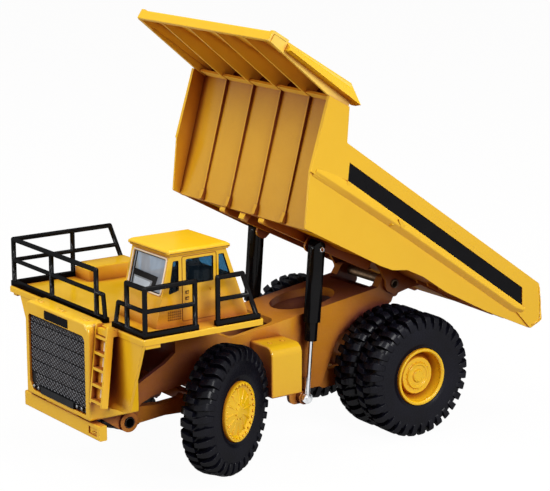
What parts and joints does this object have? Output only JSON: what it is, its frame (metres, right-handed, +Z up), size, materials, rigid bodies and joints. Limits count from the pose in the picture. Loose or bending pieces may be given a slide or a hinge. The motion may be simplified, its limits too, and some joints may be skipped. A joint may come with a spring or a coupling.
{
  "type": "mining dump truck scale model",
  "caption": "Scale model of a rigid-frame mining dump truck with a tipping bed on telescopic hoists, steered front wheels and twin rear wheels, shown with the bed raised.",
  "frame": {"origin": "middle of the bottom face of the bounding box, on the ground, at rest", "axes": "+X to the vehicle's left, -Y to its front, +Z up"},
  "size_m": [0.1044, 0.205, 0.1701],
  "materials": {
    "yellow_paint": "semi-gloss",
    "black_gloss": "gloss",
    "dark_grille": "satin",
    "tyre_rubber": "matte",
    "bright_steel": "polished",
    "window_glass": "clear",
    "stripe_black": "semi-gloss",
    "interior_grey": "matte"
  },
  "bodies": {
    "chassis": {"chassis_frame": "yellow_paint", "front_pivot_tube": "yellow_paint", "front_axle": "yellow_paint", "rear_axle": "yellow_paint", "deck": "yellow_paint", "radiator_housing": "yellow_paint", "grille": "dark_grille", "name_plate_blank": "black_gloss", "bumper": "yellow_paint", "left_fender_panel": "yellow_paint", "right_fender_panel": "yellow_paint", "ladder": "yellow_paint", "right_railing": "black_gloss", "left_front_railing": "black_gloss", "left_rear_railing": "black_gloss", "cab": "yellow_paint", "cab_glass": "window_glass", "cab_roof": "yellow_paint", "cab_seat": "interior_grey", "cab_dash": "interior_grey", "steering_wheel": "interior_grey", "deck_box": "yellow_paint", "left_tank": "yellow_paint", "right_tank": "yellow_paint", "bed_hinge_tube": "yellow_paint"},
    "bed": {"bed_tub": "yellow_paint", "bed_headboard": "yellow_paint", "bed_canopy": "yellow_paint", "left_stripe": "stripe_black", "right_stripe": "stripe_black", "bed_subframe": "yellow_paint"},
    "left_knuckle": {"knuckle_left": "yellow_paint"},
    "left_front_wheel": {"front_rim_left": "yellow_paint", "front_tyre_left": "tyre_rubber"},
    "left_rear_wheel": {"rear_rims_left": "yellow_paint", "rear_tyre_outer_left": "tyre_rubber", "rear_tyre_inner_left": "tyre_rubber"},
    "left_hoist_barrel": {"hoist_barrel_left": "black_gloss"},
    "left_hoist_stage": {"hoist_stage_left": "black_gloss"},
    "left_hoist_rod": {"hoist_rod_left": "bright_steel"},
    "right_knuckle": {"knuckle_right": "yellow_paint"},
    "right_front_wheel": {"front_rim_right": "yellow_paint", "front_tyre_right": "tyre_rubber"},
    "right_rear_wheel": {"rear_rims_right": "yellow_paint", "rear_tyre_outer_right": "tyre_rubber", "rear_tyre_inner_right": "tyre_rubber"},
    "right_hoist_barrel": {"hoist_barrel_right": "black_gloss"},
    "right_hoist_stage": {"hoist_stage_right": "black_gloss"},
    "right_hoist_rod": {"hoist_rod_right": "bright_steel"}
  },
  "joints": [
    {"name": "bed_tip", "type": "hinge", "parent": "chassis", "child": "bed", "pos_m": [0, 0.04714, 0.05735], "axis": [-1, 0, 0], "range_deg": [-34.6, 6]},
    {"name": "left_hoist_turn", "type": "hinge", "parent": "bed", "child": "left_hoist_barrel", "pos_m": [0.021, 0.00485, 0.07863], "axis": [-1, 0, 0], "range_deg": [-5.09, 29.11]},
    {"name": "left_hoist_stage_slide", "type": "slide", "parent": "left_hoist_barrel", "child": "left_hoist_stage", "axis": [0, -0.0747, -0.9972], "range_m": [-0.00785, 0.0014]},
    {"name": "left_hoist_rod_slide", "type": "slide", "parent": "left_hoist_stage", "child": "left_hoist_rod", "axis": [0, -0.0747, -0.9972], "range_m": [-0.02022, 0.00355]},
    {"name": "right_hoist_turn", "type": "hinge", "parent": "bed", "child": "right_hoist_barrel", "pos_m": [-0.021, 0.00485, 0.07863], "axis": [-1, 0, 0], "range_deg": [-5.09, 29.11]},
    {"name": "right_hoist_stage_slide", "type": "slide", "parent": "right_hoist_barrel", "child": "right_hoist_stage", "axis": [0, -0.0747, -0.9972], "range_m": [-0.00785, 0.0014]},
    {"name": "right_hoist_rod_slide", "type": "slide", "parent": "right_hoist_stage", "child": "right_hoist_rod", "axis": [0, -0.0747, -0.9972], "range_m": [-0.02022, 0.00355]},
    {"name": "left_steer", "type": "hinge", "parent": "chassis", "child": "left_knuckle", "pos_m": [0.0343, -0.05036, 0.0254], "axis": [0, 0, 1], "range_deg": [-53.4, 0]},
    {"name": "right_steer", "type": "hinge", "parent": "chassis", "child": "right_knuckle", "pos_m": [-0.0343, -0.05036, 0.0254], "axis": [0, 0, 1], "range_deg": [-53.4, 0]},
    {"name": "left_front_spin", "type": "hinge", "parent": "left_knuckle", "child": "left_front_wheel", "pos_m": [0.0343, -0.05036, 0.0254], "axis": [0.8934, 0.4493, 0], "continuous": true},
    {"name": "right_front_spin", "type": "hinge", "parent": "right_knuckle", "child": "right_front_wheel", "pos_m": [-0.0343, -0.05036, 0.0254], "axis": [0.8934, 0.4493, 0], "continuous": true},
    {"name": "left_rear_spin", "type": "hinge", "parent": "chassis", "child": "left_rear_wheel", "pos_m": [0.033, 0.03904, 0.0254], "axis": [1, 0, 0], "continuous": true},
    {"name": "right_rear_spin", "type": "hinge", "parent": "chassis", "child": "right_rear_wheel", "pos_m": [-0.033, 0.03904, 0.0254], "axis": [1, 0, 0], "continuous": true}
  ],
  "couplings": [
    {"joint": "left_hoist_turn", "follows": "bed_tip", "ratio": -0.84},
    {"joint": "left_hoist_stage_slide", "follows": "bed_tip", "m_per_rad": 0.01292},
    {"joint": "left_hoist_rod_slide", "follows": "bed_tip", "m_per_rad": 0.0334},
    {"joint": "right_hoist_turn", "follows": "bed_tip", "ratio": -0.84},
    {"joint": "right_hoist_stage_slide", "follows": "bed_tip", "m_per_rad": 0.01292},
    {"joint": "right_hoist_rod_slide", "follows": "bed_tip", "m_per_rad": 0.0334},
    {"joint": "right_steer", "follows": "left_steer", "ratio": 1}
  ]
}
